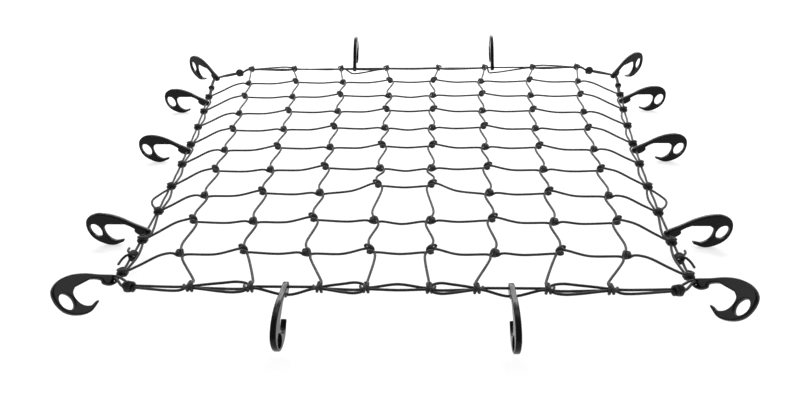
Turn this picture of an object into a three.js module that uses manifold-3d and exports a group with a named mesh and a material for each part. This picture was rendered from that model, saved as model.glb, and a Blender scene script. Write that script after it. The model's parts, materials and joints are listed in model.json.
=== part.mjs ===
// An elastic cargo net: eight long cords and nine cross cords knotted into a mesh, a doubled
// border cord on each side, and fourteen moulded C hooks that swing on the border.
// Millimetres, +X to the right, +Y to the back, +Z up; the lowest hooks stand on z = 0.
import * as THREE from "three";
import { mergeVertices } from "three/addons/utils/BufferGeometryUtils.js";
import Module from "manifold-3d";

const wasm = await Module();
wasm.setup();

// ---- driving dimensions -------------------------------------------------------------------
const CORD_DIAMETER = 4;
const CORD_SIDES = 5;
const CLEARANCE = 0.35; // between a cord and the solid that it passes
const STRAND_GAP = 0.5; // between the two strands of the doubled border

const ROW_COUNT = 9; // cross cords
const ROW_PITCH = 100;
const COLUMNS_PER_HALF = 4; // long cords each side of the middle
const HALF_GAP = { front: 49.6, back: 57.5 }; // middle to the nearest long cord
const COLUMN_PITCH = { front: 104.8, back: 126.5 };
const FRONT_LEAD = [2.6, 36.4, 35.2, 47]; // long cords lead inwards to the front border
const BACK_LEAD = [-12.5, -14, -19.5, -14];
const ROW_BOW = 14; // how far the outer knots hang towards the front
const WAIST = 8; // how far the outermost long cords draw in between the front and the back
const STAGGER = 8; // each second knot sits this far back
const SLACK_ROW = 7;
const SLACK_SHIFT = 24; // the middle knots of the slack row

const NET_HEIGHT = 66; // middle of the mesh above the floor
const SIDE_DROP = 38; // the side borders hang this far below the mesh
const SIDE_MARGIN = { front: 103, back: 113 }; // outermost long cord to the side border
const SIDE_CURVE = 1.6; // how the side borders flare towards the back
const SIDE_SHIFT = 15; // cross cords meet the side border this far to the front
const BACK_CORNER = { out: 7, beyond: 100, drop: 25 }; // from the side border and its last row
const FRONT_CORNER = { out: 2, beyond: 42, drop: 30 };
const BACK_SPLICE = { out: 35, inside: 6, drop: 8 }; // from the outermost long cord's end
const FRONT_SPLICE = { out: 110, inside: 26, drop: 20 };

const LENS_INNER = 9; // how far the inner strand bulges between two knots
const LENS_OUTER = 3;
const SIDE_BIGHT = 24; // how far a slack bight stands out from the side border
const END_BIGHT = 14; // and from the front or back border
const KNOT = { length: 15, wall: 3.05, play: 1.7 }; // a barrel round one cord
const SIDE_KNOT = { length: 18, wall: 2.1, height: 13 }; // a lump round both border strands
const END_KNOT = { length: 14, wall: 2.1, height: 13 };
const SPLICE_KNOT = 20;
const JOIN_KNOT = 17;
const KNOT_SIDES = 5;
const CORD_SEAT = 1.2; // a cord ends this deep in the wall of a knot
const SLOT_SPREAD = 1.8; // border strands spread this much inside a knot
const LEVEL_RUN = 9; // border strands stay straight this far from a knot
const SOCKET_DEPTH = 5; // room in a splice knot for the ends of the side strands
const TAIL_LENGTH = 24; // cut ends of the joining knot

const HOOK_THICKNESS = 9;
const EYE_PLAY = 1.2; // round one strand in the eye of a side, front or back hook
const EYE_RUN = 3.5; // strands run straight this far out of an eye on each side
const RAIL_SEAT = { start: 36, end: 68, height: 17.5 }; // flat under the arm, from the eye
const FINGER_HOLE = { u: 92, v: 4, across: 22, tall: 29, lean: -14 };
const SIDE_HOOK_ROWS = [1.53, 4.45, 7.86]; // place along the side border, in rows
const FRONT_HOOK = { column: 1, share: 0.5, tilt: -22 }; // place between two long cords' ends
const BACK_HOOKS = { left: { column: 0, share: 0.72 }, right: { column: 1, share: 0.18 }, tilt: 22 };
const BACK_CORNER_TILT = 10;
const FRONT_CORNER_TILT = 12;
const FRONT_CORNER_ROLL = 34; // the front corner hooks lean over, their tops outwards
const BACK_CORNER_AZIMUTH = 32; // degrees from straight sideways
const FRONT_CORNER_AZIMUTH = 76;
const COMPANION_DROP = 12.5; // the second strand passes below a front or back hook
const COMPANION_IN = 11; // the second strand passes beside a side hook
const UNIT_LUMP = 0.5878; // radius of an icosahedron that fills a unit cube

const cordRadius = CORD_DIAMETER / 2;
const strandOffset = (CORD_DIAMETER + STRAND_GAP) / 2;
const knotBore = CORD_DIAMETER + 2 * KNOT.play;
const knotWidth = knotBore + 2 * KNOT.wall;
const slotWidth = 2 * (strandOffset + cordRadius + CLEARANCE + SLOT_SPREAD);
const knotSeat = knotBore / 2 + CORD_SEAT;
const borderSeat = slotWidth / 2 + CORD_SEAT;
const eyeStraight = HOOK_THICKNESS / 2 + EYE_RUN;

// ---- solids -------------------------------------------------------------------------------
// A route that keeps its own points as the steps of a swept tube.
class CordRoute extends THREE.CatmullRomCurve3 {
  getPointAt(t, target) {
    return this.getPoint(t, target);
  }
  getTangentAt(t, target) {
    return this.getTangent(t, target);
  }
  getSpacedPoints(divisions) {
    return this.getPoints(divisions);
  }
}

function toSolid(geometry) {
  const bare = geometry.index ? geometry.toNonIndexed() : geometry.clone();
  bare.deleteAttribute("normal");
  bare.deleteAttribute("uv");
  const merged = mergeVertices(bare, 1e-4);
  return new wasm.Manifold(
    new wasm.Mesh({
      numProp: 3,
      vertProperties: merged.attributes.position.array,
      triVerts: new Uint32Array(merged.index.array),
    }),
  );
}

function toGeometry(solid) {
  const mesh = solid.getMesh();
  const geometry = new THREE.BufferGeometry();
  geometry.setAttribute("position", new THREE.BufferAttribute(mesh.vertProperties, 3));
  geometry.setIndex(new THREE.BufferAttribute(mesh.triVerts, 1));
  geometry.computeVertexNormals();
  return geometry;
}

function joinAll(solids) {
  return solids.reduce((whole, next) => whole.add(next));
}

function sweep(section, points) {
  const route = new CordRoute(points, false, "centripetal");
  return toSolid(new THREE.ExtrudeGeometry(section, { steps: points.length - 1, extrudePath: route }));
}

function cordSolid(points) {
  const circle = new THREE.Path().absarc(0, 0, cordRadius, 0, 2 * Math.PI, false);
  return sweep(new THREE.Shape(circle.getPoints(CORD_SIDES).slice(0, CORD_SIDES)), points);
}

// The square passage that a cord runs through.
function passageSolid(points) {
  const half = cordRadius + CLEARANCE;
  const corners = [[-half, -half], [half, -half], [half, half], [-half, half]];
  return sweep(new THREE.Shape(corners.map(([x, y]) => new THREE.Vector2(x, y))), points);
}

function placeSolid(geometry, centre, turn) {
  geometry.rotateZ(turn);
  geometry.translate(centre.x, centre.y, centre.z);
  return toSolid(geometry);
}

// A mesh knot: a barrel with a bore for the cord that runs through, along +Y before its turn.
function barrelSolid(centre, turn) {
  const [inner, outer, end] = [knotBore / 2, knotWidth / 2, KNOT.length / 2];
  const rim = (inner + outer) / 2;
  const profile = [[inner, -end], [rim, -end], [outer, 0], [rim, end], [inner, end], [inner, -end]];
  const barrel = new THREE.LatheGeometry(profile.map(([x, y]) => new THREE.Vector2(x, y)), KNOT_SIDES);
  barrel.rotateY(Math.PI / KNOT_SIDES);
  return placeSolid(barrel, centre, turn);
}

function lumpSolid(centre, length, width, height, turn = 0) {
  const lump = new THREE.IcosahedronGeometry(UNIT_LUMP, 0);
  lump.scale(width, length, height);
  return placeSolid(lump, centre, turn);
}

// A border knot: a lump with one flat slot for both border strands, along +Y before its turn.
function slottedSolid(centre, { length, wall, height }, turn) {
  const slot = new THREE.BoxGeometry(slotWidth, 2 * length, 2 * (cordRadius + 2 * CLEARANCE));
  const lump = lumpSolid(centre, length, slotWidth + 2 * wall, height, turn);
  return lump.subtract(placeSolid(slot, centre, turn));
}

// ---- layout -------------------------------------------------------------------------------
const meshZ = NET_HEIGHT;
const sideSign = (column) => (column < COLUMNS_PER_HALF ? -1 : 1);
const stepsOut = (column) =>
  column < COLUMNS_PER_HALF ? COLUMNS_PER_HALF - 1 - column : column - COLUMNS_PER_HALF;
const rowY = (row) => ((ROW_COUNT + 1) / 2 - row) * ROW_PITCH;
const columnCount = 2 * COLUMNS_PER_HALF;
const columnX = (out, end) => HALF_GAP[end] + out * COLUMN_PITCH[end];
const frontStation = (out) => columnX(out, "front") - FRONT_LEAD[out];
const backStation = (out) => columnX(out, "back") - BACK_LEAD[out];
const outermost = COLUMNS_PER_HALF - 1;

// Knot of a long cord (column 0 to 7) and a cross cord (row 1 to 9); rows 0 and 10 are borders.
function knotPoint(column, row) {
  const out = stepsOut(column);
  if (row === 0) {
    return new THREE.Vector3(sideSign(column) * backStation(out), rowY(0), meshZ);
  }
  if (row === ROW_COUNT + 1) {
    return new THREE.Vector3(sideSign(column) * frontStation(out), rowY(row), meshZ);
  }
  const back = (ROW_COUNT - row) / (ROW_COUNT - 1);
  const x = THREE.MathUtils.lerp(columnX(out, "front"), columnX(out, "back"), back);
  const bow = ROW_BOW * (out / outermost) ** 2 * Math.sin((Math.PI * row) / (ROW_COUNT + 1));
  const waist = WAIST * (out / outermost) * Math.sin(Math.PI * back ** 1.5);
  const stagger = (out + row) % 2 === 0 ? -STAGGER / 2 : STAGGER / 2;
  const slack = row === SLACK_ROW && out === 0 ? SLACK_SHIFT : 0;
  return new THREE.Vector3(sideSign(column) * (x - waist), rowY(row) - bow + stagger + slack, meshZ);
}

// Middle line of a side border at a given y.
const sideX = (end) => columnX(outermost, end) + SIDE_MARGIN[end];

function sidePoint(side, y) {
  const share = (y + SIDE_SHIFT - rowY(ROW_COUNT)) / (rowY(1) - rowY(ROW_COUNT));
  const back = THREE.MathUtils.clamp(share, 0, 1);
  const x = sideX("front") + (sideX("back") - sideX("front")) * back ** SIDE_CURVE;
  return new THREE.Vector3(side * x, y, meshZ - SIDE_DROP);
}

function alongCord(start, end, share, dx, dy, dz) {
  return start.clone().lerp(end, share).add(new THREE.Vector3(dx, dy, dz));
}

// The point a given distance from start along one axis, on the side where end lies.
function stepTo(start, end, axis, distance) {
  const point = start.clone();
  point[axis] += Math.sign(end[axis] - start[axis]) * distance;
  return point;
}

const backCorner = {
  x: sideX("back") + BACK_CORNER.out,
  y: rowY(1) + BACK_CORNER.beyond,
  z: meshZ - BACK_CORNER.drop,
};
const frontCorner = {
  x: sideX("front") + FRONT_CORNER.out,
  y: rowY(ROW_COUNT) - FRONT_CORNER.beyond,
  z: meshZ - FRONT_CORNER.drop,
};
const backSplice = {
  x: backStation(outermost) + BACK_SPLICE.out,
  y: rowY(0) - BACK_SPLICE.inside,
  z: meshZ - BACK_SPLICE.drop,
};
const frontSplice = {
  x: frontStation(outermost) + FRONT_SPLICE.out,
  y: rowY(ROW_COUNT + 1) + FRONT_SPLICE.inside,
  z: meshZ - FRONT_SPLICE.drop,
};
const onSide = (side, { x, y, z }) => new THREE.Vector3(side * x, y, z);
const sideHookYs = SIDE_HOOK_ROWS.map(rowY);
const betweenStations = (station, { column, share }) =>
  THREE.MathUtils.lerp(station(column), station(column + 1), share);
const frontHookX = betweenStations(frontStation, FRONT_HOOK);
const frontHookXs = [-frontHookX, frontHookX];
const backHookXs = [
  -betweenStations(backStation, BACK_HOOKS.left),
  betweenStations(backStation, BACK_HOOKS.right),
];

// Hooks: eye centre, azimuth of the arm from +X, tilt upwards and roll about the arm, in degrees.
const eyeRadius = cordRadius + EYE_PLAY;
const cornerEyeRadius = strandOffset + cordRadius + EYE_PLAY / 2;
const hooks = [];
for (const [side, word] of [[-1, "left"], [1, "right"]]) {
  const turn = (azimuth) => (side > 0 ? azimuth : 180 - azimuth);
  sideHookYs.forEach((y, index) => {
    const eye = sidePoint(side, y).add(new THREE.Vector3(side * strandOffset, 0, 0));
    hooks.push({ name: `hook_${word}_${index + 1}`, eye, azimuth: turn(0), tilt: 0, eyeRadius });
  });
  hooks.push(
    {
      name: `hook_${word}_back_corner`,
      eye: onSide(side, backCorner),
      azimuth: turn(BACK_CORNER_AZIMUTH),
      tilt: BACK_CORNER_TILT,
      eyeRadius: cornerEyeRadius,
    },
    {
      name: `hook_${word}_front_corner`,
      eye: onSide(side, frontCorner),
      azimuth: turn(-FRONT_CORNER_AZIMUTH),
      tilt: FRONT_CORNER_TILT,
      roll: -side * FRONT_CORNER_ROLL,
      eyeRadius: cornerEyeRadius,
    },
    {
      name: `hook_back_${word}`,
      eye: new THREE.Vector3(backHookXs[side > 0 ? 1 : 0], rowY(0) + strandOffset, meshZ),
      azimuth: 90,
      tilt: BACK_HOOKS.tilt,
      eyeRadius,
    },
    {
      name: `hook_front_${word}`,
      eye: new THREE.Vector3(side * frontHookX, rowY(ROW_COUNT + 1) + strandOffset, meshZ),
      azimuth: -90,
      tilt: FRONT_HOOK.tilt,
      eyeRadius,
    },
  );
}

// ---- border strands -----------------------------------------------------------------------
const INNER = 1;
const OUTER = -1;

// Two points where a strand runs straight through the round eye of a corner hook.
function throughCorner(side, corner, azimuth, strand, roll = 0) {
  const centre = onSide(side, corner);
  const angle = THREE.MathUtils.degToRad(azimuth);
  const out = new THREE.Vector3(side * Math.cos(angle), Math.sin(angle), 0);
  const along = new THREE.Vector3(side * -Math.sin(angle), Math.cos(angle), 0);
  along.applyAxisAngle(out, THREE.MathUtils.degToRad(-side * roll));
  const middle = centre.addScaledVector(out, -strand * strandOffset);
  return [eyeStraight, -eyeStraight].map((run) => middle.clone().addScaledVector(along, run));
}

function splicePoint(side, splice, strand) {
  return onSide(side, splice).add(new THREE.Vector3(0, Math.sign(splice.y) * -strand * strandOffset, 0));
}

// One strand of a side border, from the back splice round both corner hooks to the front splice.
function sideStrand(side, strand) {
  const inward = -side * strand;
  const points = [splicePoint(side, backSplice, strand)];
  points.push(...throughCorner(side, backCorner, BACK_CORNER_AZIMUTH, strand));
  const knots = [];
  for (let row = 1; row <= ROW_COUNT; row += 1) {
    knots.push(rowY(row) - SIDE_SHIFT);
  }
  const offset = (y, distance) => sidePoint(side, y).add(new THREE.Vector3(inward * distance, 0, 0));
  points.push(offset(knots[0] + LEVEL_RUN, strandOffset));
  knots.forEach((y, index) => {
    points.push(offset(y, strandOffset));
    const next = knots[index + 1];
    if (next === undefined) {
      return;
    }
    const hookY = sideHookYs.find((hook) => hook < y && hook > next);
    if (hookY === undefined) {
      points.push(offset((y + next) / 2, strand === INNER ? LENS_INNER : LENS_OUTER));
      return;
    }
    const distance = strand === INNER ? COMPANION_IN - strandOffset : strandOffset;
    points.push(offset(y - LEVEL_RUN, strandOffset), offset(hookY + eyeStraight, distance));
    points.push(offset(hookY - eyeStraight, distance), offset(next + LEVEL_RUN, strandOffset));
  });
  points.push(offset(knots[knots.length - 1] - LEVEL_RUN, strandOffset));
  points.push(...throughCorner(side, frontCorner, -FRONT_CORNER_AZIMUTH, strand, FRONT_CORNER_ROLL));
  points.push(splicePoint(side, frontSplice, strand));
  return points;
}

// One strand of the front or back border, between its two splices.
function endStrand(row, splice, hookXs, strand) {
  const inward = (row === 0 ? -1 : 1) * strand;
  const stations = [];
  for (let column = 0; column < columnCount; column += 1) {
    stations.push(knotPoint(column, row));
  }
  const first = splicePoint(-1, splice, strand);
  const last = splicePoint(1, splice, strand);
  const level = (stop, run) => alongCord(stop, stop, 0, run, inward * strandOffset, 0);
  const points = [stepTo(first, stations[0], "x", SOCKET_DEPTH), level(stations[0], -LEVEL_RUN)];
  stations.forEach((knot, column) => {
    points.push(level(knot, 0));
    const next = stations[column + 1];
    if (next === undefined) {
      return;
    }
    const eyeX = hookXs.find((x) => x > knot.x && x < next.x);
    if (eyeX === undefined) {
      const bulge = strand === INNER ? LENS_INNER : LENS_OUTER;
      points.push(alongCord(knot, next, 0.5, 0, inward * bulge, strand === INNER ? 1 : -1));
      return;
    }
    const carries = strand === (row === 0 ? OUTER : INNER);
    const y = carries ? knot.y + strandOffset : knot.y + strandOffset - 1;
    const z = carries ? meshZ : meshZ - COMPANION_DROP;
    points.push(level(knot, LEVEL_RUN));
    points.push(new THREE.Vector3(eyeX - eyeStraight, y, z), new THREE.Vector3(eyeX + eyeStraight, y, z));
    points.push(level(next, -LEVEL_RUN));
  });
  const final = stations[columnCount - 1];
  points.push(level(final, LEVEL_RUN), stepTo(last, final, "x", SOCKET_DEPTH));
  return points;
}

const strandPair = (make) => [make(INNER), make(OUTER)];
const borderRoutes = {
  left: strandPair((strand) => sideStrand(-1, strand)),
  right: strandPair((strand) => sideStrand(1, strand)),
  front: strandPair((strand) => endStrand(ROW_COUNT + 1, frontSplice, frontHookXs, strand)),
  back: strandPair((strand) => endStrand(0, backSplice, backHookXs, strand)),
};
const sideRoom = joinAll([...borderRoutes.left, ...borderRoutes.right].map(passageSolid));

// ---- mesh cords ---------------------------------------------------------------------------
// Turn of a knot from +Y onto the line between its two neighbours.
function turnBetween(before, after) {
  return Math.atan2(before.x - after.x, after.y - before.y);
}

const knotTurn = (column, row) => turnBetween(knotPoint(column, row + 1), knotPoint(column, row - 1));

// A long cord runs straight through each mesh knot and bends on either side of it.
function longRoute(column) {
  const ends = [0, ROW_COUNT + 1].map((row) => knotPoint(column, row));
  const points = [stepTo(ends[0], knotPoint(column, 1), "y", borderSeat)];
  for (let row = 1; row <= ROW_COUNT; row += 1) {
    const knot = knotPoint(column, row);
    const turn = knotTurn(column, row);
    const run = new THREE.Vector3(-Math.sin(turn), Math.cos(turn), 0).multiplyScalar(KNOT.length / 2);
    points.push(knot.clone().add(run), knot.clone().sub(run));
  }
  points.push(stepTo(ends[1], knotPoint(column, ROW_COUNT), "y", borderSeat));
  return points;
}

function longCord(column) {
  const parts = [cordSolid(longRoute(column))];
  for (const row of [0, ROW_COUNT + 1]) {
    parts.push(slottedSolid(knotPoint(column, row), END_KNOT, Math.PI / 2));
  }
  return joinAll(parts);
}

// A cross cord: short runs from knot to knot, each run let into the knots at its two ends.
function crossCord(row) {
  const ends = [-1, 1].map((side) => sidePoint(side, rowY(row) - SIDE_SHIFT));
  const parts = [-1, 1].map((side, index) => {
    const ahead = sidePoint(side, ends[index].y + SIDE_KNOT.length);
    const behind = sidePoint(side, ends[index].y - SIDE_KNOT.length);
    return slottedSolid(ends[index], SIDE_KNOT, turnBetween(behind, ahead));
  });
  const stops = [{ at: ends[0], seat: borderSeat }];
  for (let column = 0; column < columnCount; column += 1) {
    const knot = knotPoint(column, row);
    parts.push(barrelSolid(knot, knotTurn(column, row)));
    stops.push({ at: knot, seat: knotSeat });
  }
  stops.push({ at: ends[1], seat: borderSeat });
  stops.slice(1).forEach((stop, index) => {
    const from = stops[index];
    const run = [stepTo(from.at, stop.at, "x", from.seat), stepTo(stop.at, from.at, "x", stop.seat)];
    const edge = index === 0 || index === columnCount;
    if (edge) {
      run.splice(1, 0, alongCord(from.at, stop.at, 0.5, 0, 4, 8));
    }
    parts.push(cordSolid(run));
  });
  return joinAll(parts);
}

// ---- border cords -------------------------------------------------------------------------
// A side border: two strands joined by a knot with two cut tails, and one slack bight.
function sideBorder(side, routes) {
  const joinY = rowY(ROW_COUNT) + 37;
  const join = sidePoint(side, joinY);
  const tail = (lean) => [
    join.clone().add(new THREE.Vector3(side * 5, lean * 3, 0)),
    join.clone().add(new THREE.Vector3(side * 13, lean * 10, 2)),
    join.clone().add(new THREE.Vector3(side * 17, lean * TAIL_LENGTH, -1)),
  ];
  const bightRows = [SLACK_ROW - 1, SLACK_ROW].map((row) => rowY(row) - SIDE_SHIFT);
  const bight = [
    sidePoint(side, bightRows[0] - LEVEL_RUN).add(new THREE.Vector3(side * strandOffset, 0, 0)),
    sidePoint(side, bightRows[0] - 30).add(new THREE.Vector3(side * SIDE_BIGHT * 0.6, 0, 0)),
    sidePoint(side, bightRows[0] - 55).add(new THREE.Vector3(side * SIDE_BIGHT, 0, 0)),
    sidePoint(side, bightRows[1] + 22).add(new THREE.Vector3(side * SIDE_BIGHT * 0.7, 0, 0)),
    sidePoint(side, bightRows[1] + LEVEL_RUN).add(new THREE.Vector3(side * strandOffset, 0, 0)),
  ];
  return joinAll([
    ...routes.map((points) => cordSolid(points)),
    lumpSolid(join, JOIN_KNOT, JOIN_KNOT, SIDE_KNOT.height),
    cordSolid(tail(1)),
    cordSolid(tail(-1)),
    cordSolid(bight),
  ]);
}

// A slack third strand between two neighbouring knots of the front or back border.
function endBight(side, { row, out, strand }) {
  const column = (step) => (side > 0 ? COLUMNS_PER_HALF + step : COLUMNS_PER_HALF - 1 - step);
  const [near, far] = [knotPoint(column(out), row), knotPoint(column(out + 1), row)];
  const inward = (row === 0 ? -1 : 1) * strand;
  const beside = (knot, other) => {
    const start = stepTo(knot, other, "x", LEVEL_RUN);
    return start.add(new THREE.Vector3(0, inward * strandOffset, 0));
  };
  const shoulder = (share) => alongCord(near, far, share, 0, inward * END_BIGHT * 0.8, 0);
  const middle = alongCord(near, far, 0.5, 0, inward * END_BIGHT, 0);
  return [beside(near, far), shoulder(0.3), middle, shoulder(0.7), beside(far, near)];
}

const endBights = [
  { row: 0, out: 0, strand: INNER },
  { row: 0, out: 2, strand: OUTER },
  { row: ROW_COUNT + 1, out: 0, strand: OUTER },
  { row: ROW_COUNT + 1, out: 2, strand: OUTER },
];

// A front or back border: two strands, slack bights, and a splice knot at each end that takes
// the side strands.
function endBorder(row, splice, routes) {
  const parts = routes.map((points) => cordSolid(points));
  const sockets = [];
  for (const side of [-1, 1]) {
    parts.push(lumpSolid(onSide(side, splice), SPLICE_KNOT, SPLICE_KNOT, SIDE_KNOT.height));
    for (const bight of endBights.filter((entry) => entry.row === row)) {
      parts.push(cordSolid(endBight(side, bight)));
    }
    for (const strand of [INNER, OUTER]) {
      const stop = new THREE.OctahedronGeometry((cordRadius + CLEARANCE) * Math.sqrt(3), 0);
      sockets.push(placeSolid(stop, splicePoint(side, splice, strand), 0));
    }
  }
  return joinAll(parts).subtract(joinAll(sockets)).subtract(sideRoom);
}

// ---- hook ---------------------------------------------------------------------------------
// Outline in the hook's own plane: u out from the eye, v up.
function hookOutline() {
  const path = new THREE.Path();
  const spline = (points) => path.splineThru(points.map(([u, v]) => new THREE.Vector2(u, v)));
  path.moveTo(0, 8);
  spline([[20, 18], [42, 30.5], [65, 38], [87, 38], [103, 29], [108, 12], [103, -8], [90, -20.5],
    [68, -27.5], [46, -20]]);
  path.lineTo(45.5, -17);
  spline([[60, -19], [72, -12], [77, 1], [75.5, 11.5], [RAIL_SEAT.end, RAIL_SEAT.height]]);
  path.lineTo(RAIL_SEAT.start, RAIL_SEAT.height);
  spline([[27, 13.5], [19, 7]]);
  path.lineTo(21, 2.5);
  spline([[14, -4.5], [5, -8], [-6, -5.5], [-8, 2], [0, 8]]);
  const points = path.getPoints(2);
  const apart = (point, index) => point.distanceTo(points[(index + 1) % points.length]) > 0.01;
  return new THREE.Shape(points.filter(apart));
}

function hookGeometry(holeRadius) {
  const shape = hookOutline();
  const eye = new THREE.Path();
  eye.absarc(0, 0, holeRadius, 0, 2 * Math.PI, false);
  const finger = new THREE.Path();
  const { u, v, across, tall, lean } = FINGER_HOLE;
  finger.absellipse(u, v, across / 2, tall / 2, 0, 2 * Math.PI, false, THREE.MathUtils.degToRad(lean));
  shape.holes.push(new THREE.Path(eye.getPoints(4).slice(0, -1)));
  shape.holes.push(new THREE.Path(finger.getPoints(6).slice(0, -1)));
  const geometry = new THREE.ExtrudeGeometry(shape, { depth: HOOK_THICKNESS, bevelEnabled: false });
  geometry.translate(0, 0, -HOOK_THICKNESS / 2);
  return geometry;
}

// ---- assembly -----------------------------------------------------------------------------
const cordMaterial = new THREE.MeshStandardMaterial({ color: 0x2a2a2c, roughness: 0.65, metalness: 0 });
const borderMaterial = new THREE.MeshStandardMaterial({ color: 0x1f1f21, roughness: 0.65, metalness: 0 });
const hookMaterial = new THREE.MeshStandardMaterial({ color: 0x101011, roughness: 0.3, metalness: 0 });

const net = new THREE.Group();

function place(name, geometry, material) {
  const mesh = new THREE.Mesh(geometry, material);
  mesh.name = name;
  net.add(mesh);
  return mesh;
}

for (let column = 0; column < columnCount; column += 1) {
  place(`long_cord_${column + 1}`, toGeometry(longCord(column)), cordMaterial);
}
for (let row = 1; row <= ROW_COUNT; row += 1) {
  place(`cross_cord_${row}`, toGeometry(crossCord(row)), cordMaterial);
}
place("border_left", toGeometry(sideBorder(-1, borderRoutes.left)), borderMaterial);
place("border_right", toGeometry(sideBorder(1, borderRoutes.right)), borderMaterial);
const frontBorder = endBorder(ROW_COUNT + 1, frontSplice, borderRoutes.front);
place("border_front", toGeometry(frontBorder), borderMaterial);
place("border_back", toGeometry(endBorder(0, backSplice, borderRoutes.back)), borderMaterial);

for (const hook of hooks) {
  const mesh = new THREE.Mesh(hookGeometry(hook.eyeRadius), hookMaterial);
  mesh.name = hook.name;
  mesh.rotation.z = THREE.MathUtils.degToRad(hook.tilt);
  const upright = new THREE.Group();
  upright.rotation.x = Math.PI / 2;
  upright.add(mesh);
  const turned = new THREE.Group();
  turned.rotation.z = THREE.MathUtils.degToRad(hook.azimuth);
  const leaning = new THREE.Group();
  leaning.rotation.x = THREE.MathUtils.degToRad(hook.roll ?? 0);
  turned.position.copy(hook.eye);
  leaning.add(upright);
  turned.add(leaning);
  net.add(turned);
}

// The origin goes to the middle of the net, on the floor under its lowest hooks.
const box = new THREE.Box3().setFromObject(net, true);
const middle = box.getCenter(new THREE.Vector3());
net.position.set(-middle.x, -middle.y, -box.min.z);

export default net;
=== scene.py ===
# %% [markdown]
# # An elastic cargo net with moulded hooks
#
# The real object is a mesh of thin black shock cord: eight long cords and nine cross cords,
# hitched together at every crossing, inside a border of two strands, with fourteen moulded
# hooks threaded on the border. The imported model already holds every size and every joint, so
# this file only adds what the eye wants: cord that really winds into knots, a braided sheath,
# hooks with rounded edges, and soft studio light. It works in millimetres and turns each
# finished mesh into metres.

import json
import math

import bpy
import numpy as np
from mathutils import Matrix, Vector
from mathutils.geometry import tessellate_polygon


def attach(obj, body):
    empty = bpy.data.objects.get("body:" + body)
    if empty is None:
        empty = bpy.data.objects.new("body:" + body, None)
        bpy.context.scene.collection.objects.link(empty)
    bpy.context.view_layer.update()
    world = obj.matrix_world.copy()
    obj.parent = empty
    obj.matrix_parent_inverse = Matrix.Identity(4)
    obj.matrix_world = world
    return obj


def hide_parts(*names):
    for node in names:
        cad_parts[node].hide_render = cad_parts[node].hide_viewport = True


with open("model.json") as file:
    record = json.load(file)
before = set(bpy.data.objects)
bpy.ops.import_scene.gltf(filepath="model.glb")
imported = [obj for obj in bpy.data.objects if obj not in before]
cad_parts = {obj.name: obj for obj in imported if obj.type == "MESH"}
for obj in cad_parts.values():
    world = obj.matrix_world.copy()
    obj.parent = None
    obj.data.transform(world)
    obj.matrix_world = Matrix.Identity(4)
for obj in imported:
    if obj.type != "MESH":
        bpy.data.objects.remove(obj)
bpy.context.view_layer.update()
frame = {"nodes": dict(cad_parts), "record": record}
JOINTS = {joint["name"]: joint for joint in frame["record"]["behaviour"]["joints"]}
SEATS = {mount["name"]: mount for mount in frame["record"]["mounts"]}
METRE = 0.001
X, Y, UP = np.eye(3)

# %% [markdown]
# ## Where the cords run
#
# Every knot place follows from a few spacings: a pitch between rows, a pitch between columns
# that widens towards the back, a small bow, a stagger that lifts each second knot, and one row
# that has gone slack. All of the knots come out of one formula as a single array, which is
# quicker than placing them one by one and keeps the left half a true mirror of the right. The
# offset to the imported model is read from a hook's hinge, so the cords land where the CAD is.

# %% Layout sizes, in millimetres
CORD_DIAMETER = 4.0
SHEATH_FUZZ = 0.2  # chosen for the look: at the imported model's thickness the cords seem too thin
CORD = CORD_DIAMETER / 2 + SHEATH_FUZZ
STRAND = 2.25  # each border strand lies this far from the border's middle line
ROWS = 9
ROW_PITCH = 100.0
HALF_COLUMNS = 4
HALF_GAP = (49.6, 57.5)  # front, back
COLUMN_PITCH = (104.8, 126.5)
FRONT_LEAD = np.array([2.6, 36.4, 35.2, 47.0])
BACK_LEAD = np.array([-12.5, -14.0, -19.5, -14.0])
ROW_BOW = 14.0
WAIST = 8.0
STAGGER = 8.0
SLACK_ROW, SLACK_SHIFT = 7, 24.0
SIDE_DROP = 38.0
SIDE_MARGIN = (103.0, 113.0)
SIDE_CURVE = 1.6
SIDE_SHIFT = 15.0
OUTERMOST = HALF_COLUMNS - 1


def row_y(row):
    """Distance of a row towards the back: the fifth row is the middle one."""
    return ((ROWS + 1) / 2 - np.asarray(row, float)) * ROW_PITCH


def column_x(out, end):
    """Distance of a long cord from the middle plane: half a gap, then whole pitches."""
    return HALF_GAP[end] + out * COLUMN_PITCH[end]


def knot_grid():
    """Knot places [step out, row] on the right half. x is the mix of the front and back
    spacings less a waist; y is the row's place less the bow, plus the stagger and the slack."""
    out = np.arange(HALF_COLUMNS)[:, None].astype(float)
    row = np.arange(ROWS + 2)[None, :].astype(float)
    back = np.clip((ROWS - row) / (ROWS - 1), 0, 1)
    x = column_x(out, 0) * (1 - back) + column_x(out, 1) * back
    x = x - WAIST * out / OUTERMOST * np.sin(np.pi * back**1.5)
    y = row_y(row) - ROW_BOW * (out / OUTERMOST) ** 2 * np.sin(np.pi * row / (ROWS + 1))
    y = y + np.where((out + row) % 2 == 0, -STAGGER / 2, STAGGER / 2)
    y = y + np.where((row == SLACK_ROW) & (out == 0), SLACK_SHIFT, 0)
    x[:, 0] = column_x(out[:, 0], 1) - BACK_LEAD
    x[:, -1] = column_x(out[:, 0], 0) - FRONT_LEAD
    y[:, 0], y[:, -1] = row_y(0), row_y(ROWS + 1)
    return np.stack([x, y, np.zeros_like(x)], axis=-1)


KNOTS = knot_grid()
print("knots laid out", KNOTS.shape[0] * (KNOTS.shape[1] - 2) * 2)


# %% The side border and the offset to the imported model
def side_x(y):
    """Half width of the net at y: a power curve that flares towards the back."""
    share = np.clip((y + SIDE_SHIFT - row_y(ROWS)) / (row_y(1) - row_y(ROWS)), 0, 1)
    front, back = column_x(OUTERMOST, 0) + SIDE_MARGIN[0], column_x(OUTERMOST, 1) + SIDE_MARGIN[1]
    return front + (back - front) * share**SIDE_CURVE


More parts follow.
